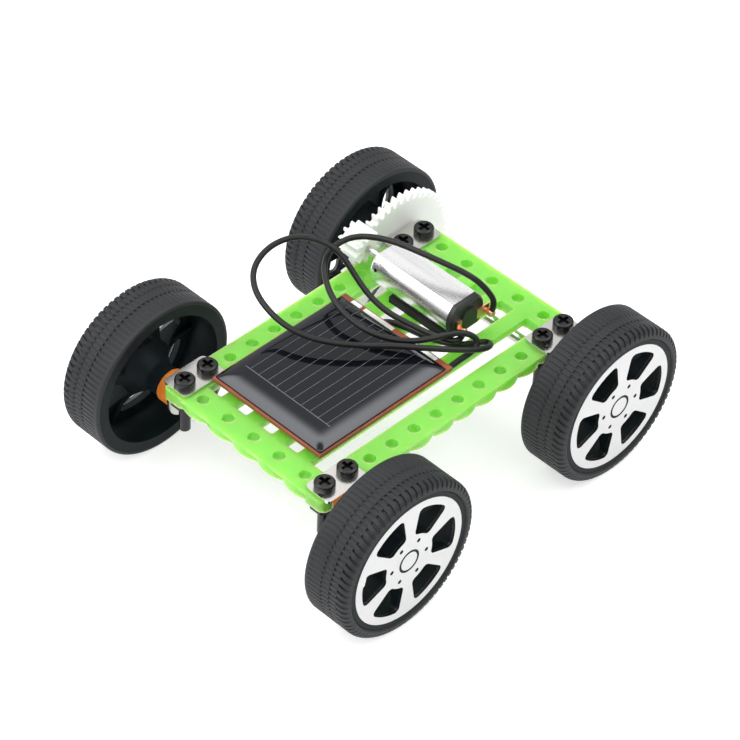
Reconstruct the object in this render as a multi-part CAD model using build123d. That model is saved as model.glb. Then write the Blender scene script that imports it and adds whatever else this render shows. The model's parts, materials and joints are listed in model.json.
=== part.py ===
"""Small solar-driven car kit: slotted plastic plate on four rubber-tyred wheels,
a double-flat motor driving the rear axle through one gear pair, and a solar
panel wired to the motor by two leads.

Millimetres.  +X is the car's left, -Y its front (panel end), +Z up.
The origin is on the ground under the middle of the car.
"""
from build123d import *
from math import acos, atan2, cos, degrees, pi, radians, sin, sqrt, tan
import os

os.makedirs("parts", exist_ok=True)

# ---- driving dimensions ---------------------------------------------------
WHEELBASE = 50.0
TYRE_R = 14.5
WHEEL_WIDTH = 8.9
WHEEL_FACE_X = 32.7        # outer face of a wheel from the middle plane
REAR_LEFT_FACE_X = 31.7    # this wheel sits on a shorter spacer
AXLE_R = 1.0
AXLE_Z = TYRE_R
RUN_CLEARANCE = 0.06       # radial, shaft in its bearing hole

DECK_TOP = 20.0
DECK_THICK = 1.5
PAD_THICK = 2.2            # plate thickness around each hole
LOBE_RISE = 0.75           # how far the scalloped edge stands out between its notches
SKIN_THICK = 0.6           # straight-edged top of the deck, over the notches
CORNER_R = 1.4
DECK_HALF_X = 18.5
DECK_HALF_Y = 30.2
HOLE_PITCH = 5.0
HOLE_R = 1.05
SIDE_ROW_X = 16.0
END_ROW_Y = 27.5
SLOT_PITCH = 5.85
SLOT_WIDTH = 3.0
SLOT_HALF_LENGTH = 25.0
BRACKET_ROWS = (22.5, 27.5)  # |Y| of the side holes that take bracket screws
SIDE_ROWS = [HOLE_PITCH * (i + 0.5) for i in range(6)]
END_COLUMNS = [SLOT_PITCH * i for i in range(-2, 3)]

SHEET = 0.5                # bracket sheet thickness
BRACKET_IN_X = 13.6
BRACKET_Y = (20.6, 29.6)
LEG_HALF_WIDTH = 3.6

SCREW_R = 0.98
SCREW_LENGTH = 10.0
HEAD_R = 1.75
HEAD_H = 1.3
NUT_FLATS = 4.0
NUT_H = 1.6

MODULE = 0.5
GEAR_TEETH = 48
PINION_TEETH = 10
PRESSURE_ANGLE = radians(20)
BACKLASH = 0.12
GEAR_X = (-21.0, -19.4)
PINION_X = (-20.8, -16.3)

MOTOR_PAD_TOP = 21.3
CAN_R = 4.0
CAN_HALF_FLAT = 3.1
CAN_WALL = 0.3
CAN_X = (-12.2, 5.4)
BELL_X = 6.6
MOTOR_SHAFT_R = 0.5
MOTOR_Z = MOTOR_PAD_TOP + CAN_HALF_FLAT
CENTRE_DISTANCE = MODULE * (GEAR_TEETH + PINION_TEETH) / 2
REAR_Y = WHEELBASE / 2
MOTOR_Y = REAR_Y - sqrt(CENTRE_DISTANCE ** 2 - (MOTOR_Z - AXLE_Z) ** 2)

PANEL_CENTRE = (-0.7, -9.2)
PANEL_SIZE = (24.6, 30.0)
PANEL_TAPE_TOP = 21.1
BOARD_TOP = 21.9
RESIN_TOP = 22.8

LEAD_R = 0.52

# Each route is a list of hand-placed points from the motor to the panel.
LEAD_ROUTES = {
    "lead_positive": [
        (7.5, 19, 23), (8.1, 19.4, 25.2), (6.8, 18.4, 28), (4.6, 16.8, 30.4), (0.2, 15.2, 31.2),
        (-4.4, 14, 31.4), (-8.6, 13.2, 31.2), (-12.1, 12.1, 30.8), (-15.3, 10.6, 30),
        (-16.9, 8.3, 29.2), (-17.1, 5.6, 28.3), (-15.7, 3.2, 27.3), (-12.5, 0.9, 26.4),
        (-8.7, -0.6, 25.8), (-5, -0.8, 25), (-1.1, -0.3, 24.6), (2.3, 1.3, 24.4), (5.1, 3.8, 24.4),
        (6.9, 7.1, 24.5), (8, 10.1, 24.4), (9.2, 11.7, 24), (10.3, 12.6, 23.2), (11, 12.3, 22.2),
        (10.8, 10.7, 21.3), (10.3, 9, 20.7), (10.3, 7.2, 20.55), (10.4, 4.9, 20.55),
    ],
    "lead_negative": [
        (7.5, 12.5, 22.7), (8.8, 10.7, 22.9), (7.7, 8.9, 23), (4.5, 7.7, 23.2), (0.5, 6.8, 23.4),
        (-3.3, 5.9, 23.8), (-7.1, 5.8, 24.6), (-10.5, 6, 26.2), (-13.1, 6.1, 28.2), (-15.5, 5.7, 30),
        (-18.1, 4.1, 31.2), (-20.8, 2.2, 31.4), (-22.4, -0.8, 31), (-22.7, -4.1, 30.2),
        (-21.7, -7.2, 29), (-19.1, -9.3, 27.8), (-15.6, -10.2, 26.8), (-11.2, -10.4, 26),
        (-6.9, -9.2, 25.4), (-3, -6.6, 25), (0.3, -3.5, 24.8), (3.3, 0.1, 24.6), (6.5, 3.3, 24.3),
        (9.3, 6.7, 23.7), (11.4, 9.8, 23), (12.5, 12.7, 22.2), (11.8, 14.9, 21.4), (10.1, 15.1, 20.8),
        (8.7, 12.8, 20.55), (6.5, 10.6, 20.55), (3.8, 9.3, 20.55), (0.8, 8.5, 20.55),
        (-2.3, 7.9, 20.55), (-4.6, 6.9, 20.55), (-5.4, 4.9, 20.55),
    ],
}

# wheel section, measured inwards from the wheel's outer face
HUB_R = 12.6
DISC_R = 11.74
POCKET_R = 11.8
DISC_FACE = 0.25
DISC_BACK = 0.85
WEB_BACK = 2.0
CUP_R = 12.0
FLANGE_R = 13.9
FLANGE_THICK = 0.6
OUTER_SHOULDER = 1.2       # rounding of the tyre's two edges
INNER_SHOULDER = 0.4
BOSS_R = 2.7
BOSS_STAND_OUT = 1.5       # past the hub's inner face
BUSH_R = 3.0
WINDOWS = 6
WINDOW_HALF_ANGLE = radians(20)
WINDOW_R = (5.1, 10.3)
FLARE = ((WEB_BACK - 0.1, 11.3), (4.2, 5.6), (8.2, 2.65))  # depth and radius of the boss's root

LOW = (Align.CENTER, Align.CENTER, Align.MIN)


def save(name, shape):
    """Write one node; a group of separate solids becomes a compound."""
    solids = shape.solids() if hasattr(shape, "solids") else [s for x in shape for s in x.solids()]
    body = solids[0] if len(solids) == 1 else Compound(children=list(solids))
    body.label = name
    export_step(body, f"parts/{name}.step")
    print(f"{name}: {len(solids)} solid(s), {sum(s.volume for s in solids):.1f} mm3")


def rod_x(radius, x0, x1, y=0.0, z=0.0):
    """Round bar along X."""
    return Pos((x0 + x1) / 2, y, z) * Rot(0, 90, 0) * Cylinder(radius, abs(x1 - x0))


def rod_z(radius, x, y, z0, z1):
    """Round bar along Z."""
    return Pos(x, y, z0) * Cylinder(radius, z1 - z0, align=LOW)


def block(x, y, z):
    """Box from its low and high limits along each axis."""
    size = (x[1] - x[0], y[1] - y[0], z[1] - z[0])
    return Pos((x[0] + x[1]) / 2, (y[0] + y[1]) / 2, (z[0] + z[1]) / 2) * Box(*size)


# ---- chassis plate --------------------------------------------------------
def bracket_holes():
    return [(sx * SIDE_ROW_X, sy * y) for sx in (-1, 1) for sy in (-1, 1) for y in BRACKET_ROWS]


def plate_holes():
    sides = [(sx * SIDE_ROW_X, sy * y) for sx in (-1, 1) for sy in (-1, 1) for y in SIDE_ROWS]
    ends = [(x, sy * END_ROW_Y) for x in END_COLUMNS for sy in (-1, 1)]
    return sides + ends


def edge_lobe(reach, pitch):
    """Pad around a hole at the origin, with the plate's edge bowed out towards +X."""
    radius = (pitch ** 2 / 4 + LOBE_RISE ** 2) / (2 * LOBE_RISE)
    return Rectangle(2 * reach, pitch) & Pos(reach - radius, 0) * Circle(radius)


def chassis_plate():
    """Slotted deck: a thin straight-edged skin, the scalloped deck under it, and thicker lobes."""
    side_reach = DECK_HALF_X - SIDE_ROW_X
    end_reach = DECK_HALF_Y - END_ROW_Y
    pads, cuts = Sketch(), Sketch()
    for x, y in plate_holes():
        cuts += Pos(x, y) * Circle(HOLE_R)
        if abs(x) != SIDE_ROW_X:
            pads += Pos(x, y) * Rot(0, 0, 90 if y > 0 else -90) * edge_lobe(end_reach, SLOT_PITCH)
        elif abs(y) != END_ROW_Y:
            pads += Pos(x, y) * Rot(0, 0, 0 if x > 0 else 180) * edge_lobe(side_reach, HOLE_PITCH)
        else:
            pads += Pos(x, y) * RectangleRounded(2 * side_reach, 2 * end_reach, CORNER_R)
    for x in END_COLUMNS:
        cuts += Pos(x, 0) * RectangleRounded(SLOT_WIDTH, 2 * SLOT_HALF_LENGTH, 0.3)
    inset = LOBE_RISE + 0.15
    deck = pads + RectangleRounded(2 * (DECK_HALF_X - inset), 2 * (DECK_HALF_Y - inset), 0.5)
    skin = RectangleRounded(2 * DECK_HALF_X, 2 * DECK_HALF_Y, CORNER_R)
    plate, reached = Part(), 0
    for outline, depth in ((skin, SKIN_THICK), (deck, DECK_THICK), (pads, PAD_THICK)):
        plate += Pos(0, 0, DECK_TOP - depth) * extrude(outline - cuts, depth - reached)
        reached = depth
    return plate


# ---- axle brackets and their fasteners ------------------------------------
def bracket(side, end):
    """L-shaped sheet bracket: a foot on the deck and a leg with the axle hole."""
    out_x = DECK_HALF_X + 0.05 + SHEET
    axle_y = end * WHEELBASE / 2
    mid_y = end * sum(BRACKET_Y) / 2
    foot_size = (out_x - BRACKET_IN_X, BRACKET_Y[1] - BRACKET_Y[0])
    foot = Pos(side * (BRACKET_IN_X + out_x) / 2, mid_y, DECK_TOP) * extrude(
        RectangleRounded(*foot_size, 0.9), SHEET)
    outer = side * out_x
    inner = side * (out_x - SHEET)
    leg_x = (min(outer, inner), max(outer, inner))
    leg_y = (axle_y - LEG_HALF_WIDTH, axle_y + LEG_HALF_WIDTH)
    leg = block(leg_x, leg_y, (AXLE_Z, DECK_TOP + SHEET)) + rod_x(LEG_HALF_WIDTH, *leg_x, axle_y, AXLE_Z)
    part = foot + leg
    part -= rod_x(AXLE_R + RUN_CLEARANCE, leg_x[0] - 1, leg_x[1] + 1, axle_y, AXLE_Z)
    for y in BRACKET_ROWS:
        part -= rod_z(HOLE_R + 0.05, side * SIDE_ROW_X, end * y, DECK_TOP - 1, DECK_TOP + SHEET + 1)
    return part


def screw(x, y):
    """Pan-head machine screw with a cross recess, head down on the bracket."""
    seat = DECK_TOP + SHEET
    head = rod_z(HEAD_R, x, y, seat, seat + HEAD_H)
    head = fillet(head.edges().sort_by(Axis.Z)[-1], 0.35)
    shank = rod_z(SCREW_R, x, y, seat - SCREW_LENGTH, seat + 0.1)
    shank = chamfer(shank.edges().sort_by(Axis.Z)[0], 0.25)
    arm = Pos(x, y, seat + HEAD_H - 0.8)
    recess = arm * Box(2.2, 0.65, 1, align=LOW) + arm * Box(0.65, 2.2, 1, align=LOW)
    return head + shank - recess


def nut(x, y):
    top = DECK_TOP - PAD_THICK
    hexagon = Pos(x, y, top - NUT_H) * extrude(
        RegularPolygon(NUT_FLATS / 2, 6, major_radius=False), NUT_H)
    return hexagon - rod_z(SCREW_R + 0.03, x, y, top - NUT_H - 1, top + 1)


# ---- wheels ---------------------------------------------------------------
def window_cut(angle, grow, x0, x1):
    """Rounded sector window through a disc about the X axis."""
    r_in, r_out = WINDOW_R[0] - grow, WINDOW_R[1] + grow
    half = WINDOW_HALF_ANGLE + grow / WINDOW_R[1]

    def at(r, a):
        return (r * cos(a), r * sin(a))

    outer = ThreePointArc(at(r_out, -half), at(r_out, 0), at(r_out, half))
    inner = ThreePointArc(at(r_in, half), at(r_in, 0), at(r_in, -half))
    sides = [Line(outer @ 1, inner @ 0), Line(inner @ 1, outer @ 0)]
    face = make_face([outer, sides[0], inner, sides[1]])
    face = fillet(face.vertices(), 0.9)
    across = Plane(origin=(x0, 0, 0), x_dir=(0, 1, 0), z_dir=(1, 0, 0))
    return extrude(across * (Rot(0, 0, degrees(angle)) * face), x1 - x0, dir=(1, 0, 0))


def ring(r0, r1, x0, x1):
    """Plain ring about X; r0 = 0 gives a disc."""
    part = rod_x(r1, x0, x1)
    return part - rod_x(r0, x0 - 1, x1 + 1) if r0 > 0 else part


def boss_flare():
    """Trumpet-shaped root that runs from the boss out to the hub's web."""
    web, middle, tip = [(-depth, radius) for depth, radius in FLARE]
    outline = [Line((web[0], 0), web), ThreePointArc(web, middle, tip), Line(tip, (tip[0], 0)),
               Line((tip[0], 0), (web[0], 0))]
    return revolve(make_face(outline), Axis.X)


def wheel_parts():
    """Tyre, hub and disc, built with the outer face at X = 0 and the car at -X."""
    inner_face = -WHEEL_WIDTH
    tyre = ring(HUB_R + 0.02, TYRE_R, inner_face, 0)
    rims = tyre.edges().filter_by(lambda e: abs(e.length - 2 * pi * TYRE_R) < 0.1).sort_by(Axis.X)
    tyre = fillet(rims[-1], OUTER_SHOULDER)
    rims = tyre.edges().filter_by(lambda e: abs(e.length - 2 * pi * TYRE_R) < 0.1).sort_by(Axis.X)
    tyre = fillet(rims[0], INNER_SHOULDER)
    tyre -= ring(HUB_R, FLANGE_R + 0.02, inner_face - 1, inner_face + FLANGE_THICK + 0.02)
    groove = 0.35
    for x in (-3.2, -5.2):
        tyre -= ring(TYRE_R - groove, TYRE_R + 1, x - groove / 2, x + groove / 2)

    hub = ring(CUP_R, HUB_R, inner_face, -DISC_FACE)
    hub += ring(CUP_R, FLANGE_R, inner_face, inner_face + FLANGE_THICK)
    hub += ring(0, CUP_R + 0.1, -WEB_BACK, -DISC_BACK)
    hub += ring(POCKET_R, CUP_R + 0.1, -DISC_BACK, -DISC_FACE)
    hub += ring(0, BOSS_R, inner_face - BOSS_STAND_OUT, -WEB_BACK)
    hub += boss_flare()
    disc = ring(0, DISC_R, -DISC_BACK + 0.01, -DISC_FACE)
    disc -= ring(1.75, 2.18, -DISC_FACE - 0.2, 1)
    for i in range(WINDOWS):
        turn = 2 * pi * i / WINDOWS
        hub -= window_cut(turn, 0.15, inner_face, -DISC_BACK + 0.5)
        disc -= window_cut(turn, 0.0, -DISC_BACK - 0.5, 1)
        pin = Pos(0, 3.82 * cos(turn), 3.82 * sin(turn))
        disc -= pin * rod_x(0.38, -DISC_FACE - 0.35, 1)
        rib = block((-WEB_BACK - 1.0, -WEB_BACK + 0.1), (BOSS_R - 0.2, CUP_R + 0.1), (-0.35, 0.35))
        hub += Rot(degrees(turn) + 30, 0, 0) * rib
    hub -= rod_x(AXLE_R + 0.02, inner_face - BOSS_STAND_OUT - 1, -WEB_BACK)
    return tyre, hub, disc


def place_wheel(part, side, end, face_x, turn):
    """Turn is how far the wheel stands turned on its axle, in degrees."""
    turned = Rot(turn, 0, 0) * (part if side > 0 else Rot(0, 0, 180) * part)
    return Pos(side * face_x, end * WHEELBASE / 2, AXLE_Z) * turned


def bush(x0, x1, y):
    return rod_x(BUSH_R, x0, x1, y, AXLE_Z) - rod_x(AXLE_R + 0.02, x0 - 1, x1 + 1, y, AXLE_Z)


# ---- gears ----------------------------------------------------------------
def gear_face(teeth, first_tooth):
    """Spur gear outline as a face in its own XY plane; first_tooth is an angle."""
    pitch_r = MODULE * teeth / 2
    base_r = pitch_r * cos(PRESSURE_ANGLE)
    tip_r = pitch_r + MODULE
    root_r = pitch_r - 1.25 * MODULE
    half_pitch_tooth = (pi * MODULE / 2 - BACKLASH) / (2 * pitch_r)
    inv = tan(PRESSURE_ANGLE) - PRESSURE_ANGLE
    start_r = max(base_r, root_r)

    def half_angle(r):
        a = acos(min(1.0, base_r / r))
        return half_pitch_tooth + inv - (tan(a) - a)

    flank_steps = 4
    radii = [start_r + (tip_r - start_r) * i / flank_steps for i in range(flank_steps + 1)]
    points = []
    for tooth in range(teeth):
        middle = first_tooth + 2 * pi * tooth / teeth
        rising = [(root_r, -half_angle(start_r))] + [(r, -half_angle(r)) for r in radii]
        falling = [(r, -a) for r, a in reversed(rising)]
        outline = rising + falling if start_r > root_r else rising[1:] + falling[:-1]
        points += [(r * cos(middle + a), r * sin(middle + a)) for r, a in outline]
    return make_face(Polyline(*points, close=True))


def spur_gear(teeth, first_tooth, x, y, z, bore_r):
    plane = Plane(origin=(x[0], y, z), x_dir=(0, 1, 0), z_dir=(1, 0, 0))
    body = extrude(plane * gear_face(teeth, first_tooth), x[1] - x[0], dir=(1, 0, 0))
    return body - rod_x(bore_r, x[0] - 1, x[1] + 1, y, z)


# direction from the big gear's centre to the pinion's, in the Y-Z plane
MESH_ANGLE = atan2(MOTOR_Z - AXLE_Z, MOTOR_Y - REAR_Y)


# ---- motor ----------------------------------------------------------------
def double_flat(radius, half_flat, x0, x1):
    """Round bar along the motor axis with flats above and below."""
    bar = rod_x(radius, x0, x1, MOTOR_Y, MOTOR_Z)
    return bar & block((x0 - 1, x1 + 1), (MOTOR_Y - radius - 1, MOTOR_Y + radius + 1),
                       (MOTOR_Z - half_flat, MOTOR_Z + half_flat))


def motor_rod(radius, x0, x1):
    return rod_x(radius, x0, x1, MOTOR_Y, MOTOR_Z)


CAVITY_R = CAN_R - CAN_WALL
CAVITY_FLAT = CAN_HALF_FLAT - CAN_WALL
BUSHING_R = 1.25
ROTOR_R = 2.3
COLLAR_X = -13.2


def motor_can():
    can = double_flat(CAN_R, CAN_HALF_FLAT, *CAN_X)
    front = can.faces().sort_by(Axis.X)[0]
    can = fillet(front.edges(), 0.5)
    can -= double_flat(CAVITY_R, CAVITY_FLAT, CAN_X[0] + CAN_WALL, CAN_X[1] + 1)
    can -= motor_rod(BUSHING_R, CAN_X[0] - 1, CAN_X[0] + 1)
    vent = Pos(CAN_X[0] + 1.3, MOTOR_Y - CAN_R, MOTOR_Z + 0.9) * Rot(90, 0, 0) * Cylinder(0.35, 3)
    return can - vent


def end_bell():
    cover = double_flat(CAN_R - 0.05, CAN_HALF_FLAT - 0.05, CAN_X[1], BELL_X)
    cover = chamfer(cover.faces().sort_by(Axis.X)[-1].edges(), 0.35)
    plug = double_flat(CAVITY_R - 0.02, CAVITY_FLAT - 0.02, CAN_X[1] - 1.0, CAN_X[1])
    boss = motor_rod(1.7, BELL_X - 0.2, BELL_X + 0.4)
    bell = cover + plug + boss
    bell -= motor_rod(2.9, CAN_X[1] - 2, CAN_X[1] - 0.2)
    bell -= motor_rod(BUSHING_R, CAN_X[1] - 1, BELL_X - 0.2)
    half = TAG_HALF_WIDTH + 0.05
    slot_z = (TAG_TOP - TAG_SHEET - 0.05, TAG_TOP + 0.05)
    for side in (-1, 1):
        y = MOTOR_Y + side * TERMINAL_OFFSET
        bell -= block((CAN_X[1] - 2, BELL_X + 1), (y - half, y + half), slot_z)
    return bell


TERMINAL_OFFSET = 2.3
TAG_X = (BELL_X + 0.1, BELL_X + 0.4)
TAG_TOP = MOTOR_Z + 0.45
TAG_HALF_WIDTH = 0.5
TAG_SHEET = 0.3
TAG_SOLDER_R = 0.8


def terminals():
    """Two copper tags folded over the bell's face, each with the solder at its lead's end."""
    parts = []
    tags = ((-1, TAG_HALF_WIDTH, 2.45, "lead_negative"), (1, 2.4, 1.9, "lead_positive"))
    for side, reach, drop, name in tags:
        y = MOTOR_Y + side * TERMINAL_OFFSET
        leaf = block((CAN_X[1] - 0.8, TAG_X[1]), (y - TAG_HALF_WIDTH, y + TAG_HALF_WIDTH),
                     (TAG_TOP - TAG_SHEET, TAG_TOP))
        fold = block(TAG_X, (y - TAG_HALF_WIDTH, y + reach), (TAG_TOP - drop, TAG_TOP))
        solder = Pos(*LEAD_ROUTES[name][0]) * Sphere(TAG_SOLDER_R)
        parts.append(leaf + fold + solder)
    return parts


def brushes():
    """Two bent leaf springs that run from the tags to the commutator."""
    x = (CAN_X[1] - 2.2, CAN_X[1] - 0.8)
    z = (MOTOR_Z + 0.1, MOTOR_Z + 0.5)
    out = []
    for side in (-1, 1):
        near, far = sorted((MOTOR_Y + side * 1.0, MOTOR_Y + side * 1.15))
        wiper = block(x, (near, far), (MOTOR_Z - 0.6, MOTOR_Z + 0.6))
        near, far = sorted((MOTOR_Y + side * 1.05, MOTOR_Y + side * 2.6))
        out.append(wiper + block((x[1] - 0.3, x[1]), (near, far), z))
    return out


def magnets():
    """Two curved magnets, one against each round side of the can."""
    x = (CAN_X[0] + 1.6, CAN_X[1] - 2.6)
    tube = motor_rod(CAVITY_R - 0.02, *x) - motor_rod(2.65, x[0] - 1, x[1] + 1)
    half = 2.2
    sides = []
    for side in (-1, 1):
        y = sorted((MOTOR_Y, MOTOR_Y + side * 5))
        sides.append(tube & block((x[0], x[1]), y, (MOTOR_Z - half, MOTOR_Z + half)))
    return sides


def armature_core():
    """Three-pole laminated core."""
    x = (-8.6, 0.6)
    core = motor_rod(0.9, *x)
    cap = motor_rod(ROTOR_R, *x) - motor_rod(ROTOR_R - 0.5, x[0] - 1, x[1] + 1)
    for i in range(3):
        place = Pos(0, MOTOR_Y, MOTOR_Z) * Rot(120 * i, 0, 0)
        wedge = place * block(x, (-1.6, 1.6), (0, ROTOR_R))
        arm = place * block(x, (-0.35, 0.35), (0.5, ROTOR_R - 0.2))
        core += (cap & wedge) + arm
    return core - motor_rod(MOTOR_SHAFT_R, x[0] - 1, x[1] + 1)


def windings():
    """One coil on each pole, drawn as a block either side of its arm."""
    x = (-9.0, 1.0)
    coils = []
    for i in range(3):
        place = Pos(0, MOTOR_Y, MOTOR_Z) * Rot(120 * i, 0, 0)
        coil = block(x, (-0.75, 0.75), (0.98, 1.6)) - block((-8.62, 0.62), (-0.37, 0.37), (0, 3))
        coils.append(place * coil)
    return coils


def commutator():
    drum = motor_rod(0.95, 1.6, 4.4) - motor_rod(MOTOR_SHAFT_R, 0, 6)
    for i in range(3):
        slit = block((1.5, 4.5), (-0.08, 0.08), (0.75, 2))
        drum -= Pos(0, MOTOR_Y, MOTOR_Z) * Rot(120 * i + 60, 0, 0) * slit
    return drum


def bushing(x0, x1):
    bore = motor_rod(MOTOR_SHAFT_R + RUN_CLEARANCE, x0 - 1, x1 + 1)
    return motor_rod(BUSHING_R - 0.01, x0, x1) - bore


# ---- solar panel ----------------------------------------------------------
def panel_block(inset, z0, z1, back_inset=None):
    """Block over the panel's outline, pulled in by inset, more at the back edge."""
    cx, cy = PANEL_CENTRE
    hx, hy = PANEL_SIZE[0] / 2, PANEL_SIZE[1] / 2
    back = inset if back_inset is None else back_inset
    return block((cx - hx + inset, cx + hx - inset), (cy - hy + inset, cy + hy - back), (z0, z1))


RESIN_BACK = 1.3           # bare strip of board along the back edge
RESIN_SHOULDER = (2.2, 0.45)  # how far the casting's shoulder runs in, and how far it drops
CELL_Z = (BOARD_TOP, BOARD_TOP + 0.2)
PANEL_BACK_Y = PANEL_CENTRE[1] + PANEL_SIZE[1] / 2


def panel_resin():
    """Clear casting over the cell, with sloped shoulders."""
    cast = panel_block(0.35, BOARD_TOP, RESIN_TOP, RESIN_BACK)
    top = cast.faces().sort_by(Axis.Z)[-1]
    cast = chamfer(top.edges(), *RESIN_SHOULDER, reference=top)
    return cast - solar_cell()


def solar_cell():
    return panel_block(2.2, *CELL_Z, 2.0)


RIBBONS = ((-10.7, -8.6), (-7.9, -1.2), (2.9, 8.6))


def panel_ribbons():
    """Tinned strips along the board's bare back edge."""
    y = (PANEL_BACK_Y - 1.1, PANEL_BACK_Y - 0.3)
    return [block(x, y, (BOARD_TOP, BOARD_TOP + 0.12)) for x in RIBBONS]


def solder_joints():
    """Solder under the board's back edge, where the leads end."""
    out = []
    for route in LEAD_ROUTES.values():
        x, y, _ = route[-1]
        lump = block((x - 0.8, x + 0.8), (y - 0.8, y + 0.4), (PANEL_TAPE_TOP - 0.9, PANEL_TAPE_TOP))
        out.append(fillet(lump.edges().filter_by(Axis.Z), 0.4))
    return out


# ---- leads ----------------------------------------------------------------
def lead(name):
    """Tube along straight runs joined by tangent arcs as large as the runs allow."""
    points = [Vector(*p) for p in LEAD_ROUTES[name]]
    runs = [b - a for a, b in zip(points, points[1:])]
    radii = []
    for before, after in zip(runs, runs[1:]):
        half_turn = radians(before.get_angle(after)) / 2
        radii.append(0.45 * min(before.length, after.length) / tan(half_turn))
    path = FilletPolyline(*points, radius=radii)
    start = Plane(origin=points[0], z_dir=runs[0])
    tube = sweep(start * Circle(LEAD_R), path=path)
    expected = pi * LEAD_R ** 2 * path.length
    print(f"{name}: length {path.length:.1f}, radii {[round(r, 1) for r in radii]}, "
          f"volume {tube.volume:.1f} of {expected:.1f}")
    return tube


# ---- build every node -----------------------------------------------------
save("chassis_plate", chassis_plate())
for end_name, end in (("front", -1), ("rear", 1)):
    for side_name, side in (("left", 1), ("right", -1)):
        save(f"bracket_{end_name}_{side_name}", bracket(side, end))
save("bracket_screws", [screw(x, y) for x, y in bracket_holes()])
save("bracket_nuts", [nut(x, y) for x, y in bracket_holes()])

SHAFT_INSET = WEB_BACK + 0.3
WHEELS = {
    "front_right": (-1, -1, WHEEL_FACE_X, 30),
    "front_left": (1, -1, WHEEL_FACE_X, 0),
    "rear_left": (1, 1, REAR_LEFT_FACE_X, 0),
    "rear_right": (-1, 1, WHEEL_FACE_X, 0),
}
WHEEL_KINDS = dict(zip(("tyre", "hub", "wheel_disc"), wheel_parts()))
for corner, place in WHEELS.items():
    for kind, part in WHEEL_KINDS.items():
        save(f"{kind}_{corner}", place_wheel(part, *place))

FRONT_Y = -WHEELBASE / 2
LEG_OUT = DECK_HALF_X + 0.05 + SHEET
BUSH_GAP = 0.3
BUSH_IN = LEG_OUT + BUSH_GAP
BOSS_END = WHEEL_FACE_X - WHEEL_WIDTH - BOSS_STAND_OUT
REAR_LEFT_BOSS_END = REAR_LEFT_FACE_X - WHEEL_WIDTH - BOSS_STAND_OUT
SHAFT_END = WHEEL_FACE_X - SHAFT_INSET
save("front_axle_shaft", rod_x(AXLE_R, -SHAFT_END, SHAFT_END, FRONT_Y, AXLE_Z))
save("rear_axle_shaft", rod_x(AXLE_R, -SHAFT_END, REAR_LEFT_FACE_X - SHAFT_INSET, REAR_Y, AXLE_Z))
save("bush_front_right", bush(-BOSS_END, -BUSH_IN, FRONT_Y))
save("bush_front_left", bush(BUSH_IN, BOSS_END, FRONT_Y))
save("bush_rear_left", bush(BUSH_IN, REAR_LEFT_BOSS_END, REAR_Y))

GEAR_BORE_R = AXLE_R + 0.02
big_gear = spur_gear(GEAR_TEETH, MESH_ANGLE, GEAR_X, REAR_Y, AXLE_Z, GEAR_BORE_R)
gear_boss = rod_x(BUSH_R, -BOSS_END, GEAR_X[0] + 0.1, REAR_Y, AXLE_Z)
big_gear += gear_boss - rod_x(GEAR_BORE_R, -BOSS_END - 1, GEAR_X[0] + 1, REAR_Y, AXLE_Z)
save("drive_gear", big_gear)
pinion_start = MESH_ANGLE + pi + pi / PINION_TEETH
pinion = spur_gear(PINION_TEETH, pinion_start, PINION_X, MOTOR_Y, MOTOR_Z, MOTOR_SHAFT_R + 0.01)
save("pinion", pinion)

save("motor_can", motor_can())
save("motor_end_bell", end_bell())
save("motor_terminals", terminals())
save("motor_brushes", brushes())
save("motor_magnets", magnets())
save("motor_front_bushing", bushing(COLLAR_X, CAN_X[0] + 0.6))
save("motor_rear_bushing", bushing(CAN_X[1] - 0.1, BELL_X - 0.25))
save("motor_shaft", motor_rod(MOTOR_SHAFT_R, PINION_X[0] - 0.3, BELL_X - 0.3))
save("armature_core", armature_core())
save("armature_windings", windings())
save("commutator", commutator())
save("motor_pad", block((-8.0, CAN_X[1]), (MOTOR_Y - 3.5, MOTOR_Y + 3.1), (DECK_TOP, MOTOR_PAD_TOP)))

save("panel_tape", panel_block(3.0, DECK_TOP, PANEL_TAPE_TOP, 4.0))
save("panel_board", panel_block(0.0, PANEL_TAPE_TOP, BOARD_TOP))
save("solar_cell", solar_cell())
save("panel_resin", panel_resin())
save("panel_ribbons", panel_ribbons())
save("panel_solder_joints", solder_joints())
for name in LEAD_ROUTES:
    save(name, lead(name))
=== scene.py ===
"""Looks for the small solar car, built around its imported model.

Metres throughout; route points and small sizes are written in millimetres times MM.
+X is the car's left, -Y its front (panel end), +Z up.
"""

import json
from math import cos, pi, radians, sin

import bmesh
import bpy
from mathutils import Matrix, Vector


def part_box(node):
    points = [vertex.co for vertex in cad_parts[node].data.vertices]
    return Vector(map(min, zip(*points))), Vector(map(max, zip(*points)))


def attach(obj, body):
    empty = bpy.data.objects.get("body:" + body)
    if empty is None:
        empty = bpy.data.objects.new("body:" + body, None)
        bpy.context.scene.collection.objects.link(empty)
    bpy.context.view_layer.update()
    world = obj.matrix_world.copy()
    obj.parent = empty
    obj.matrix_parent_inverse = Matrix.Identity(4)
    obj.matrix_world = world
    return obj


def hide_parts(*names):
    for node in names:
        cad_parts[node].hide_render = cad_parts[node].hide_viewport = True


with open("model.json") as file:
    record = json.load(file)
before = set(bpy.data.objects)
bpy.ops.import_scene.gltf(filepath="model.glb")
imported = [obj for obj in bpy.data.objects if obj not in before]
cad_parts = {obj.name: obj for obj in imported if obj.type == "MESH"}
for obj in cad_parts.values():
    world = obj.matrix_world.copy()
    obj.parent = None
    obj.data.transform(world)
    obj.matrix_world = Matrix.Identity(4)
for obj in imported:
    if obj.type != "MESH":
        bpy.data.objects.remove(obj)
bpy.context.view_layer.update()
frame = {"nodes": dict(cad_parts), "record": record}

MM = 0.001
NODE_BODY = {node: body for body, nodes in frame["record"]["behaviour"]["bodies"].items() for node in nodes}
NODE_SLOT = {part["node"]: part["material_slot"] for part in frame["record"]["subparts"]}
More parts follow.
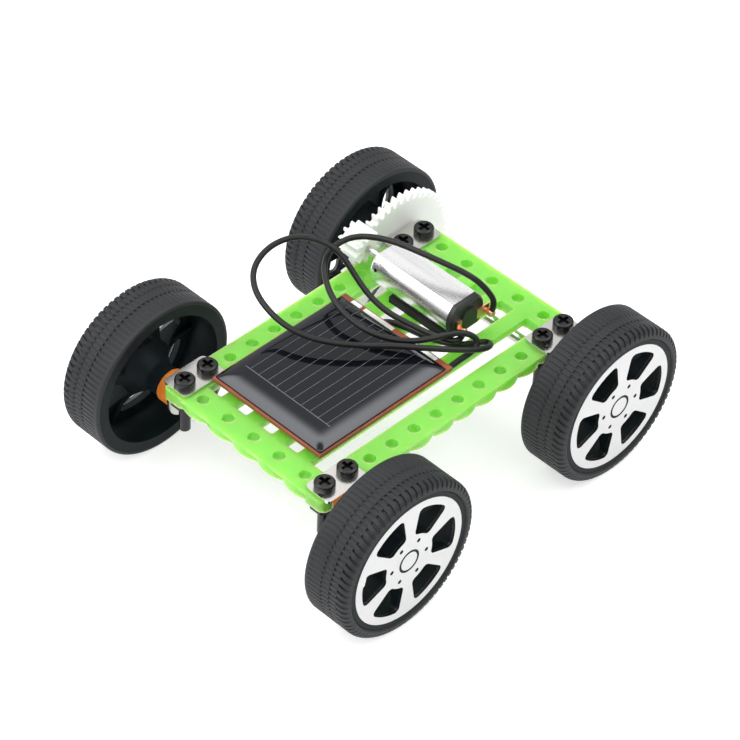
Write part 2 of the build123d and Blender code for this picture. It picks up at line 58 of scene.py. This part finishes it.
CORNERS = ("front_right", "front_left", "rear_left", "rear_right")


# ---- camera ----------------------------------------------------------------
CAMERA_AZIMUTH = 0.750       # from -Y towards +X, radians
CAMERA_ELEVATION = 0.749
CAMERA_ROLL = 0.050
CAMERA_DISTANCE = 577.1 * MM
CAMERA_SLIDE = (-0.245 * MM, 12.449 * MM)  # along the camera's own right and up
LENS_MM = 168.6


def add_camera():
    back = Vector((sin(CAMERA_AZIMUTH) * cos(CAMERA_ELEVATION),
                   -cos(CAMERA_AZIMUTH) * cos(CAMERA_ELEVATION),
                   sin(CAMERA_ELEVATION)))
    level_right = Vector((cos(CAMERA_AZIMUTH), sin(CAMERA_AZIMUTH), 0))
    level_up = back.cross(level_right)
    right = level_right * cos(CAMERA_ROLL) + level_up * sin(CAMERA_ROLL)
    up = level_up * cos(CAMERA_ROLL) - level_right * sin(CAMERA_ROLL)
    place = right * CAMERA_SLIDE[0] + up * CAMERA_SLIDE[1] + back * CAMERA_DISTANCE
    camera = bpy.data.objects.new("camera", bpy.data.cameras.new("camera"))
    camera.data.lens = LENS_MM
    camera.data.clip_start = 0.01
    turned = Matrix((right, up, back)).transposed().to_4x4()
    camera.matrix_world = Matrix.Translation(place) @ turned
    bpy.context.scene.collection.objects.link(camera)
    bpy.context.scene.camera = camera


add_camera()


# ---- materials ---------------------------------------------------------------
def new_material(name, colour, roughness, metallic=0.0, mottle=0.08, mottle_scale=250,
                 grain=0.0, grain_scale=3000, stretch=(1, 1, 1), rough_swing=0.12, **sockets):
    """Procedural finish: broad mottling of the colour, uneven gloss and a fine surface grain.

    stretch squeezes the noise along each axis, which draws brush marks or moulding flow.
    sockets sets any other input of the shader by its name, with _ for a space.
    """
    material = bpy.data.materials.new(name)
    material.use_nodes = True
    nodes, links = material.node_tree.nodes, material.node_tree.links
    shader = nodes["Principled BSDF"]
    place = nodes.new("ShaderNodeTexCoord")
    scale = nodes.new("ShaderNodeMapping")
    scale.inputs["Scale"].default_value = stretch
    links.new(place.outputs["Object"], scale.inputs["Vector"])

    broad = nodes.new("ShaderNodeTexNoise")
    broad.inputs["Scale"].default_value = mottle_scale
    broad.inputs["Detail"].default_value = 6
    links.new(scale.outputs["Vector"], broad.inputs["Vector"])
    tint = nodes.new("ShaderNodeValToRGB")
    tint.color_ramp.elements[0].position = 0.3
    tint.color_ramp.elements[1].position = 0.7
    tint.color_ramp.elements[0].color = (*[c * (1 - mottle) for c in colour], 1)
    tint.color_ramp.elements[1].color = (*[min(1, c * (1 + mottle)) for c in colour], 1)
    links.new(broad.outputs["Fac"], tint.inputs["Fac"])
    links.new(tint.outputs["Color"], shader.inputs["Base Color"])

    gloss = nodes.new("ShaderNodeMapRange")
    gloss.inputs["To Min"].default_value = max(0.02, roughness * (1 - rough_swing))
    gloss.inputs["To Max"].default_value = min(1.0, roughness * (1 + rough_swing))
    links.new(broad.outputs["Fac"], gloss.inputs["Value"])
    links.new(gloss.outputs["Result"], shader.inputs["Roughness"])

    if grain:
        fine = nodes.new("ShaderNodeTexNoise")
        fine.inputs["Scale"].default_value = grain_scale
        fine.inputs["Detail"].default_value = 3
        links.new(scale.outputs["Vector"], fine.inputs["Vector"])
        bump = nodes.new("ShaderNodeBump")
        bump.inputs["Strength"].default_value = grain
        bump.inputs["Distance"].default_value = 0.05 * MM
        links.new(fine.outputs["Fac"], bump.inputs["Height"])
        links.new(bump.outputs["Normal"], shader.inputs["Normal"])
    shader.inputs["Metallic"].default_value = metallic
    for socket, value in sockets.items():
        shader.inputs[socket.replace("_", " ")].default_value = value
    return material


FINISH = {
    "deck_plastic": new_material(
        "lime_plastic", (0.185, 0.52, 0.060), 0.36, mottle=0.05, mottle_scale=90, grain=0.15,
        grain_scale=1200, Subsurface_Weight=0.9, Subsurface_Radius=(0.7, 1.0, 0.35),
        Subsurface_Scale=7.0 * MM, IOR=1.49),
    "nickel_plate": new_material(
        "nickel", (0.66, 0.645, 0.615), 0.20, metallic=1.0, mottle=0.03, grain=0.03, grain_scale=2500,
        stretch=(1, 0.15, 1)),
    "black_screw": new_material(
        "black_oxide", (0.004, 0.004, 0.005), 0.26, mottle=0.2, grain=0.08, IOR=1.45),
    "nut_steel": new_material("blackened_nut", (0.016, 0.016, 0.018), 0.38, metallic=0.3, grain=0.1),
    "tyre_rubber": new_material(
        "tyre_rubber", (0.0105, 0.0115, 0.0135), 0.58, mottle=0.18, mottle_scale=120, grain=0.25,
        grain_scale=2200, IOR=1.45),
    "hub_plastic": new_material(
        "black_plastic", (0.006, 0.010, 0.012), 0.46, mottle=0.15, grain=0.10, grain_scale=1500,
        IOR=1.40, Specular_IOR_Level=0.15),
    "wheel_silver": new_material(
        "silver_coat", (0.62, 0.625, 0.62), 0.34, metallic=0.35, mottle=0.03, grain=0.12,
        grain_scale=4000, Coat_Weight=0.25, Coat_Roughness=0.25),
    "bush_plastic": new_material(
        "amber_plastic", (0.72, 0.22, 0.03), 0.30, mottle=0.10, Subsurface_Weight=0.4,
        Subsurface_Radius=(1.0, 0.4, 0.1), Subsurface_Scale=1.0 * MM),
    "gear_nylon": new_material(
        "white_nylon", (0.84, 0.85, 0.83), 0.42, mottle=0.03, mottle_scale=120, grain=0.12,
        Subsurface_Weight=0.5, Subsurface_Radius=(1.0, 1.0, 0.9), Subsurface_Scale=1.0 * MM),
    "pinion_nylon": new_material(
        "milky_nylon", (0.80, 0.84, 0.78), 0.36, mottle=0.04, Subsurface_Weight=0.8,
        Subsurface_Radius=(1.0, 1.0, 0.8), Subsurface_Scale=1.5 * MM),
    "motor_steel": new_material(
        "brushed_can", (0.80, 0.80, 0.80), 0.27, metallic=1.0, mottle=0.04, mottle_scale=1500,
        grain=0.08, grain_scale=6000, stretch=(0.03, 1, 1)),
    "bell_plastic": new_material("bell_plastic", (0.016, 0.018, 0.017), 0.42, mottle=0.2, grain=0.2),
    "copper_tag": new_material("copper", (0.86, 0.50, 0.32), 0.28, metallic=1.0, mottle=0.15),
    "magnet_dark": new_material("magnet", (0.05, 0.05, 0.055), 0.5, mottle=0.2),
    "bearing_bronze": new_material("bronze", (0.62, 0.44, 0.22), 0.35, metallic=1.0, mottle=0.12),
    "core_steel": new_material(
        "laminated_steel", (0.42, 0.42, 0.43), 0.4, metallic=1.0, grain=0.6, grain_scale=3000,
        stretch=(1, 0.02, 0.02)),
    "winding_copper": new_material(
        "enamelled_wire", (0.60, 0.22, 0.07), 0.3, metallic=0.7, grain=0.7, grain_scale=2500,
        stretch=(0.02, 1, 1)),
    "foam_black": new_material("foam_tape", (0.012, 0.013, 0.012), 0.85, mottle=0.3, grain=0.8,
                               grain_scale=2500),
    "board_red": new_material("board_laminate", (0.25, 0.062, 0.026), 0.34, mottle=0.2, grain=0.1),
    "cell_dark": new_material("silicon_cell", (0.006, 0.007, 0.011), 0.3, mottle=0.2),
    "resin_clear": new_material(
        "dark_casting", (0.0045, 0.0052, 0.0075), 0.045, mottle=0.25, mottle_scale=60, rough_swing=0.25,
        IOR=1.52, Specular_Tint=(0.94, 0.96, 1.0, 1)),
    "tin_ribbon": new_material("tinned_strip", (0.90, 0.90, 0.88), 0.30, metallic=0.6, mottle=0.05),
    "solder_tin": new_material("solder", (0.72, 0.72, 0.70), 0.30, metallic=1.0, mottle=0.1),
    "lead_pvc": new_material("black_pvc", (0.006, 0.0065, 0.006), 0.38, mottle=0.15, grain=0.08,
                             grain_scale=1500, IOR=1.40),
}
FINGER_METAL = new_material("printed_silver", (0.11, 0.11, 0.12), 0.35, metallic=0.2, mottle=0.10,
                            mottle_scale=900)


def coat_only_faces(material):
    """The bright coat stays on what faces along X; the walls of every cut show black plastic."""
    nodes, links = material.node_tree.nodes, material.node_tree.links
    shader = nodes["Principled BSDF"]
    coat_colour = shader.inputs["Base Color"].links[0].from_socket
    place = nodes.new("ShaderNodeTexCoord")
    parts = nodes.new("ShaderNodeSeparateXYZ")
    links.new(place.outputs["Normal"], parts.inputs["Vector"])
    size = nodes.new("ShaderNodeMath")
    size.operation = "ABSOLUTE"
    links.new(parts.outputs["X"], size.inputs[0])
    share = nodes.new("ShaderNodeMapRange")
    share.inputs["From Min"].default_value = 0.35
    share.inputs["From Max"].default_value = 0.6
    links.new(size.outputs["Value"], share.inputs["Value"])
    mix = nodes.new("ShaderNodeMix")
    mix.data_type = "RGBA"
    mix.inputs["A"].default_value = (0.006, 0.007, 0.008, 1)
    links.new(share.outputs["Result"], mix.inputs["Factor"])
    links.new(coat_colour, mix.inputs["B"])
    links.new(mix.outputs["Result"], shader.inputs["Base Color"])
    metal = nodes.new("ShaderNodeMath")
    metal.operation = "MULTIPLY"
    metal.inputs[1].default_value = shader.inputs["Metallic"].default_value
    links.new(share.outputs["Result"], metal.inputs[0])
    links.new(metal.outputs["Value"], shader.inputs["Metallic"])


coat_only_faces(FINISH["wheel_silver"])


# ---- helpers -----------------------------------------------------------------
def add_piece(name, mesh, body, material, replaces=(), smooth_angle=35):
    """Puts a finished mesh in the scene as one piece riding on a body."""
    mesh.polygons.foreach_set("use_smooth", [True] * len(mesh.polygons))
    mesh.set_sharp_from_angle(angle=radians(smooth_angle))
    mesh.materials.clear()
    mesh.materials.append(material)
    piece = bpy.data.objects.new(name, mesh)
    bpy.context.scene.collection.objects.link(piece)
    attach(piece, body)
    if replaces:
        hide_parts(*replaces)
    return piece


def mesh_from(name, points, faces):
    """A mesh whose closed skins all face outwards."""
    mesh = bpy.data.meshes.new(name)
    mesh.from_pydata([tuple(p) for p in points], [], faces)
    mesh.validate()
    skin = bmesh.new()
    skin.from_mesh(mesh)
    bmesh.ops.recalc_face_normals(skin, faces=skin.faces)
    skin.to_mesh(mesh)
    skin.free()
    return mesh


def grid_faces(rows, columns, wrap_rows=False, wrap_columns=False):
    """Quads over points stored row by row."""
    faces = []
    for i in range(rows if wrap_rows else rows - 1):
        for j in range(columns if wrap_columns else columns - 1):
            a, b = i * columns, (i + 1) % rows * columns
            k = (j + 1) % columns
            faces.append((a + j, a + k, b + k, b + j))
    return faces


def swept_ring(section, steps, centre):
    """Ring about an X axis through centre from a closed section of (x, r) pairs."""
    points = []
    for i in range(steps):
        turn = 2 * pi * i / steps
        points += [Vector((x, centre.y + r * cos(turn), centre.z + r * sin(turn))) for x, r in section]
    return points, grid_faces(steps, len(section), wrap_rows=True, wrap_columns=True)


MERGE_DISTANCE = 0.002 * MM
FLAT_ANGLE = 0.4             # degrees within which neighbouring faces become one


def rounded(node, width, segments=2, angle=28):
    """A copy of a CAD node with its sharp edges rounded, which stands for it.

    Normals are weighted by area, so that flat faces stay flat up to their rounded edges.
    """
    shape = bmesh.new()
    shape.from_mesh(frame["nodes"][node].data)
    bmesh.ops.remove_doubles(shape, verts=shape.verts, dist=MERGE_DISTANCE)
    bmesh.ops.dissolve_limit(shape, angle_limit=radians(FLAT_ANGLE), verts=shape.verts, edges=shape.edges)
    mesh = bpy.data.meshes.new(node + "_shape")
    shape.to_mesh(mesh)
    shape.free()
    slot = NODE_SLOT[node]
    piece = add_piece(node + "_rounded", mesh, NODE_BODY[node], FINISH[slot], [node], angle)
    bevel = piece.modifiers.new("rounding", "BEVEL")
    bevel.width = width * MM
    bevel.segments = segments
    bevel.limit_method = "ANGLE"
    bevel.angle_limit = radians(angle)
    bevel.use_clamp_overlap = True
    bevel.harden_normals = True
    shading = piece.modifiers.new("flat_faces", "WEIGHTED_NORMAL")
    shading.weight = 80
    shading.keep_sharp = True
    return piece


# ---- leads -------------------------------------------------------------------
LEAD_DIAMETER = 1.04 * MM
# Each route runs from the motor to the panel, in millimetres.
LEAD_ROUTES = {
    "lead_positive": [
        (7.5, 19, 23), (8.1, 19.4, 25.2), (6.8, 18.4, 28), (4.6, 16.8, 30.4), (0.2, 15.2, 31.2),
        (-4.4, 14, 31.4), (-8.6, 13.2, 31.2), (-12.1, 12.1, 30.8), (-15.3, 10.6, 30),
        (-16.9, 8.3, 29.2), (-17.1, 5.6, 28.3), (-15.7, 3.2, 27.3), (-12.5, 0.9, 26.4),
        (-8.7, -0.6, 25.8), (-5, -0.8, 25), (-1.1, -0.3, 24.6), (2.3, 1.3, 24.4), (5.1, 3.8, 24.4),
        (6.9, 7.1, 24.5), (8, 10.1, 24.4), (9.2, 11.7, 24), (10.3, 12.6, 23.2), (11, 12.3, 22.2),
        (10.8, 10.7, 21.3), (10.3, 9, 20.7), (10.3, 7.2, 20.55), (10.4, 4.9, 20.55),
    ],
    "lead_negative": [
        (7.5, 12.5, 22.7), (8.8, 10.7, 22.9), (7.7, 8.9, 23), (4.5, 7.7, 23.2), (0.5, 6.8, 23.4),
        (-3.3, 5.9, 23.8), (-7.1, 5.8, 24.6), (-10.5, 6, 26.2), (-13.1, 6.1, 28.2), (-15.5, 5.7, 30),
        (-18.1, 4.1, 31.2), (-20.8, 2.2, 31.4), (-22.4, -0.8, 31), (-22.7, -4.1, 30.2),
        (-21.7, -7.2, 29), (-19.1, -9.3, 27.8), (-15.6, -10.2, 26.8), (-11.2, -10.4, 26),
        (-6.9, -9.2, 25.4), (-3, -6.6, 25), (0.3, -3.5, 24.8), (3.3, 0.1, 24.6), (6.5, 3.3, 24.3),
        (9.3, 6.7, 23.7), (11.4, 9.8, 23), (12.5, 12.7, 22.2), (11.8, 14.9, 21.4), (10.1, 15.1, 20.8),
        (8.7, 12.8, 20.55), (6.5, 10.6, 20.55), (3.8, 9.3, 20.55), (0.8, 8.5, 20.55),
        (-2.3, 7.9, 20.55), (-4.6, 6.9, 20.55), (-5.4, 4.9, 20.55),
    ],
}


def add_lead(name):
    """One open NURBS curve with the route's points as its control points."""
    curve = bpy.data.curves.new(name + "_line", "CURVE")
    curve.dimensions = "3D"
    spline = curve.splines.new("NURBS")
    route = LEAD_ROUTES[name]
    spline.points.add(len(route) - 1)
    for point, place in zip(spline.points, route):
        point.co = (*[c * MM for c in place], 1)
    spline.order_u = 3
    spline.use_endpoint_u = True
    spline.resolution_u = 10
    curve.bevel_depth = LEAD_DIAMETER / 2
    curve.bevel_resolution = 5
    curve.use_fill_caps = True
    curve.materials.append(FINISH["lead_pvc"])
    piece = bpy.data.objects.new(name + "_wire", curve)
    bpy.context.scene.collection.objects.link(piece)
    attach(piece, NODE_BODY[name])
    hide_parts(name)


for lead_name in LEAD_ROUTES:
    add_lead(lead_name)


# ---- tyres -------------------------------------------------------------------
TYRE_WIDTH = 8.9
TYRE_BORE_R = 12.62          # where the tyre sits on its hub
FLANGE_SEAT = (13.92, 0.62)  # radius and depth of the step that the hub's inner flange fills
OUTER_CORNER = 1.2           # rounding between sidewall and tread
INNER_CORNER = 0.4
SIDE_GROOVE_R = 13.08        # shoulder grooves run out on the sidewall just outside this radius
SHOULDER_LEAN = 2.6          # degrees that a shoulder groove leans by on the sidewall

TYRE_STEPS = 864             # round the tyre; a multiple of every count in GROOVES
GROOVES = {                  # how many round the tyre, steps wide, depth, shift in steps
    "block": (72, 4, 0.32, 0),         # slanted shoulder grooves
    "rib": (96, 3, 0.12, 0),           # fine ribs across the tread
    "offset_rib": (96, 3, 0.12, 4),
    "dash": (96, 4, 0.22, 0),          # short pits in each of two rows
}
DASH_LAND = 0.03             # depth of a row of pits between its pits
TREAD_BANDS = (              # where each band starts and ends, in from the outer face
    ("rib", 1.88, 2.96), ("dash", 3.02, 3.40), ("offset_rib", 3.46, 4.94), ("dash", 5.00, 5.36),
    ("rib", 5.42, TYRE_WIDTH - 0.9),
)


def tyre_section(outer_r):
    """Section of the tyre in millimetres: (distance in from the outer face, radius, lean, band).

    It runs from the outer bead over the tread to the inner bead and back through the bore.
    """
    rows = [(0.5, TYRE_BORE_R, 1, "plain"), (0.16, TYRE_BORE_R + 0.12, 1, "plain"),
            (0.0, TYRE_BORE_R + 0.35, 1, "plain"), (0.0, SIDE_GROOVE_R, 1, "plain"),
            (0.03, SIDE_GROOVE_R + 0.06, 1, "block")]
    for step in range(1, 7):
        turn = radians(15 * step)
        rows.append((OUTER_CORNER * (1 - cos(turn)), outer_r - OUTER_CORNER * (1 - sin(turn)),
                     1 - step / 7, "block"))
    rows.append((TREAD_BANDS[0][1] - 0.08, outer_r, 0, "block"))
    for band, start, end in TREAD_BANDS:
        rows += [(start, outer_r, 0, band), (end, outer_r, 0, band)]
    rows.append((TREAD_BANDS[-1][2] + 0.1, outer_r, 0, "plain"))
    for step in range(5):
        turn = radians(22.5 * step)
        rows.append((TYRE_WIDTH - INNER_CORNER * (1 - sin(turn)),
                     outer_r - INNER_CORNER * (1 - cos(turn)), 0, "plain"))
    seat_r, seat_depth = FLANGE_SEAT
    return rows + [(TYRE_WIDTH, seat_r, 0, "plain"), (TYRE_WIDTH - seat_depth, seat_r, 0, "plain"),
                   (TYRE_WIDTH - seat_depth, TYRE_BORE_R, 0, "plain")]


def groove_depth(band, step):
    """How far the tread is cut at this step round the tyre, in millimetres."""
    if band not in GROOVES:
        return 0.0
    count, width, depth, shift = GROOVES[band]
    if (step + shift) % (TYRE_STEPS // count) < width:
        return depth
    return DASH_LAND if band == "dash" else 0.0


def add_tyre(corner):
    node = "tyre_" + corner
    low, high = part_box(node)
    middle = (low + high) / 2
    outward = 1 if middle.x > 0 else -1
    face_x = outward * max(abs(low.x), abs(high.x)) / MM
    section = tyre_section((high.z - low.z) / 2 / MM)
    points = []
    for step in range(TYRE_STEPS):
        for inset, radius, lean, band in section:
            turn = 2 * pi * step / TYRE_STEPS + radians(SHOULDER_LEAN) * lean
            r = radius - groove_depth(band, step)
            x = face_x - outward * inset
            points.append(Vector((x, -outward * r * sin(turn), r * cos(turn))) * MM
                          + Vector((0, middle.y, middle.z)))
    faces = grid_faces(TYRE_STEPS, len(section), wrap_rows=True, wrap_columns=True)
    mesh = mesh_from(node + "_shape", points, faces)
    add_piece(node + "_tread", mesh, NODE_BODY[node], FINISH["tyre_rubber"], [node], 40)


for corner_name in CORNERS:
    add_tyre(corner_name)


# ---- dark marks in the wheel faces ---------------------------------------------
MARK_SINK = 0.11             # below the coated face
MARK_THICK = 0.08
MARK_RING = (1.76, 2.22)
MARK_PINS = 6
MARK_PIN_R = 0.40
MARK_PIN_CORE = 0.002        # the swept pins stay open by this radius at their centre
MARK_PIN_CIRCLE = 3.82
PIN_TURN = {"front_right": 30}   # degrees that this wheel is turned on its axle


def add_disc_marks(corner):
    """Bare black plastic at the bottom of the disc's ring groove and in its pin holes."""
    low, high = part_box("wheel_disc_" + corner)
    outward = 1 if high.x > 0 else -1
    surface = outward * (max(abs(low.x), abs(high.x)) - MARK_SINK * MM)
    back = surface - outward * MARK_THICK * MM
    middle = (low + high) / 2

    def section(inner_r, outer_r):
        radii = inner_r * MM, outer_r * MM
        return [(surface, r) for r in radii] + [(back, r) for r in reversed(radii)]

    points, faces = swept_ring(section(*MARK_RING), 64, middle)
    for pin in range(MARK_PINS):
        turn = 2 * pi * pin / MARK_PINS + radians(PIN_TURN.get(corner, 0))
        offset = Vector((0, cos(turn), sin(turn))) * MARK_PIN_CIRCLE * MM
        more, skin = swept_ring(section(MARK_PIN_CORE, MARK_PIN_R), 20, middle + offset)
        faces += [tuple(len(points) + i for i in face) for face in skin]
        points += more
    add_piece("disc_marks_" + corner, mesh_from("marks_shape", points, faces),
              NODE_BODY["wheel_disc_" + corner], FINISH["hub_plastic"])


for corner_name in CORNERS:
    add_disc_marks(corner_name)


# ---- solar panel ---------------------------------------------------------------
RESIN_SIDE = 0.30 * MM       # height of the casting's upright rim
RESIN_ROLL = 3.6 * MM        # how far in its domed edge reaches
RESIN_MITRE = 3              # higher values give a sharper mitre at the corners
ROLL_STEPS = 12
FINGER_X = [(-9.64 + 1.94 * i) * MM for i in range(10)]
FINGER_WIDTH = 0.09 * MM
FINGER_END = 0.9 * MM        # short of the casting's back edge
BUSBAR_Y = 4.75 * MM         # from the casting's front edge
BUSBAR_WIDTH = 0.16 * MM
BUSBAR_PAST = (1.1 * MM, 0.8 * MM)  # beyond its first and last finger
STRIP_PROUD = 0.02 * MM      # a printed strip stands out of the casting's top by this much
STRIP_SINK = 0.05 * MM       # and reaches this far into it
STRIP_STEPS = 60


def resin_height(x, y, low, high):
    """Height of the domed casting over its base; the rolls of two edges meet in a soft mitre."""
    full = high.z - low.z
    nearest = [min(x - low.x, high.x - x), min(y - low.y, high.y - y)]
    sags = [max(0.0, 1 - d / RESIN_ROLL) ** 3 for d in nearest]
    sag = sum(s ** RESIN_MITRE for s in sags) ** (1 / RESIN_MITRE)
    return full - (full - RESIN_SIDE) * min(1.0, sag)


def spaced(low, high, roll, middle_steps):
    """Stations from low to high, closer together over each rolled edge."""
    edge = [roll * (1 - cos(pi / 2 * i / ROLL_STEPS)) for i in range(ROLL_STEPS + 1)]
    inner = [low + roll + (high - low - 2 * roll) * i / middle_steps for i in range(1, middle_steps)]
    return [low + e for e in edge] + inner + [high - e for e in reversed(edge)]


def add_resin():
    low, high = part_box("panel_resin")
    xs = spaced(low.x, high.x, RESIN_ROLL, middle_steps=12)
    ys = spaced(low.y, high.y, RESIN_ROLL, middle_steps=14)
    top = [Vector((x, y, low.z + resin_height(x, y, low, high))) for y in ys for x in xs]
    count = len(top)
    base = [Vector((p.x, p.y, low.z)) for p in top]
    faces = grid_faces(len(ys), len(xs))
    under = [tuple(count + i for i in reversed(face)) for face in faces]
    n, m = len(xs), len(ys)
    rim = list(range(n)) + [n * j + n - 1 for j in range(1, m)]
    rim += [n * (m - 1) + i for i in range(n - 2, -1, -1)] + [n * j for j in range(m - 2, 0, -1)]
    walls = [(a, count + a, count + b, b) for a, b in zip(rim, rim[1:] + rim[:1])]
    mesh = mesh_from("resin_shape", top + base, faces + under + walls)
    add_piece("panel_resin_dome", mesh, NODE_BODY["panel_resin"], FINISH["resin_clear"],
              ["panel_resin"], 50)


def strip_over_resin(x_run, y_run, low, high, steps):
    """Points and faces of a thin flat strip that follows the casting's top."""
    points = []
    for i in range(steps + 1):
        share = i / steps
        for side in (0, 1):
            if x_run[1] - x_run[0] < y_run[1] - y_run[0]:
                x, y = x_run[side], y_run[0] + (y_run[1] - y_run[0]) * share
            else:
                x, y = x_run[0] + (x_run[1] - x_run[0]) * share, y_run[1 - side]
            surface = low.z + resin_height(x, y, low, high)
            points += [Vector((x, y, surface - STRIP_SINK)), Vector((x, y, surface + STRIP_PROUD))]
    faces = []
    for i in range(steps):
        a, b = 4 * i, 4 * i + 4
        faces += [(a + 1, a + 3, b + 3, b + 1), (a + 2, a, b, b + 2), (a, a + 1, b + 1, b),
                  (a + 3, a + 2, b + 2, b + 3)]
    last = 4 * steps
    return points, faces + [(0, 2, 3, 1), (last + 1, last + 3, last + 2, last)]


def add_finger_lines():
    """The cell's printed lines, seen through the clear top of the casting."""
    low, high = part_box("panel_resin")
    busbar_y = low.y + BUSBAR_Y
    fingers_y = (busbar_y, high.y - FINGER_END)
    runs = [((x - FINGER_WIDTH / 2, x + FINGER_WIDTH / 2), fingers_y) for x in FINGER_X]
    runs.append(((FINGER_X[0] - BUSBAR_PAST[0], FINGER_X[-1] + BUSBAR_PAST[1]),
                 (busbar_y - BUSBAR_WIDTH / 2, busbar_y + BUSBAR_WIDTH / 2)))
    points, faces = [], []
    for x_run, y_run in runs:
        more, skin = strip_over_resin(x_run, y_run, low, high, STRIP_STEPS)
        faces += [tuple(len(points) + i for i in face) for face in skin]
        points += more
    mesh = mesh_from("finger_shape", points, faces)
    add_piece("cell_finger_lines", mesh, NODE_BODY["solar_cell"], FINGER_METAL)


add_resin()
add_finger_lines()


# ---- carried-over parts ----------------------------------------------------------
ROUNDING = {
    "chassis_plate": 0.22, "bracket_screws": 0.10, "bracket_nuts": 0.12, "drive_gear": 0.07,
    "pinion": 0.05, "motor_can": 0.10, "motor_end_bell": 0.10, "motor_pad": 0.15, "panel_board": 0.08,
    "panel_tape": 0.10, "motor_terminals": 0.05, "panel_ribbons": 0.03,
}
for end_name in ("front", "rear"):
    for side_name in ("left", "right"):
        ROUNDING[f"bracket_{end_name}_{side_name}"] = 0.12
for corner_name in CORNERS:
    ROUNDING["hub_" + corner_name] = 0.12
    ROUNDING["wheel_disc_" + corner_name] = 0.10
for bush_node in ("bush_front_left", "bush_front_right", "bush_rear_left"):
    ROUNDING[bush_node] = 0.2

for part_node, edge_width in ROUNDING.items():
    rounded(part_node, edge_width)
for part_node, part_object in frame["nodes"].items():
    part_object.data.materials.clear()
    part_object.data.materials.append(FINISH[NODE_SLOT[part_node]])


# ---- stage -----------------------------------------------------------------------
ROOM_LIGHT = 0.62
RING_LIGHT = 4.7
RING_FOOT = (0.69, 0.86)     # height of a direction over which the ring of light sets in
RING_HEAD = (0.87, 0.94)     # and over which it ends again, towards straight overhead
FLOOR_HALF = 2.0
FLOOR_GLOW = 0.60            # lifts the shadows under the car
LAMP_PLACE = (-0.45, -0.63, 0.45)
LAMP_SIZE = 0.6
LAMP_WATTS = 2.6


def add_floor():
    corners = [(x * FLOOR_HALF, y * FLOOR_HALF, 0) for x, y in ((-1, -1), (1, -1), (1, 1), (-1, 1))]
    mesh = mesh_from("floor", corners, [(0, 1, 2, 3)])
    mesh.materials.append(new_material("pale_floor", (0.60, 0.60, 0.60), 0.9, mottle=0.01,
                                       Emission_Color=(1, 1, 1, 1), Emission_Strength=FLOOR_GLOW))
    floor = bpy.data.objects.new("floor", mesh)
    bpy.context.scene.collection.objects.link(floor)


def add_area_light(name, place, size, watts):
    light = bpy.data.lights.new(name, "AREA")
    light.shape = "DISK"
    light.size = size
    light.energy = watts
    lamp = bpy.data.objects.new(name, light)
    lamp.location = place
    lamp.rotation_euler = (-Vector(place)).to_track_quat("-Z", "Y").to_euler()
    bpy.context.scene.collection.objects.link(lamp)


def add_lighting():
    """An even white room with a broad ring of light overhead, and one large lamp low at the front."""
    world = bpy.data.worlds.new("studio")
    world.use_nodes = True
    nodes, links = world.node_tree.nodes, world.node_tree.links
    place = nodes.new("ShaderNodeTexCoord")
    parts = nodes.new("ShaderNodeSeparateXYZ")
    links.new(place.outputs["Generated"], parts.inputs["Vector"])
    strength = None
    for reach, light in ((RING_FOOT, RING_LIGHT), (RING_HEAD, ROOM_LIGHT)):
        step = nodes.new("ShaderNodeMapRange")
        step.interpolation_type = "SMOOTHSTEP"
        step.inputs["From Min"].default_value, step.inputs["From Max"].default_value = reach
        step.inputs["To Min"].default_value = ROOM_LIGHT
        step.inputs["To Max"].default_value = light
        links.new(parts.outputs["Z"], step.inputs["Value"])
        if strength:
            links.new(strength, step.inputs["To Min"])
        strength = step.outputs["Result"]
    links.new(strength, nodes["Background"].inputs["Strength"])
    nodes["Background"].inputs["Color"].default_value = (1, 1, 1, 1)
    bpy.context.scene.world = world
    add_area_light("fill", LAMP_PLACE, LAMP_SIZE, LAMP_WATTS)
    bpy.context.scene.view_settings.view_transform = "Standard"


add_floor()
add_lighting()
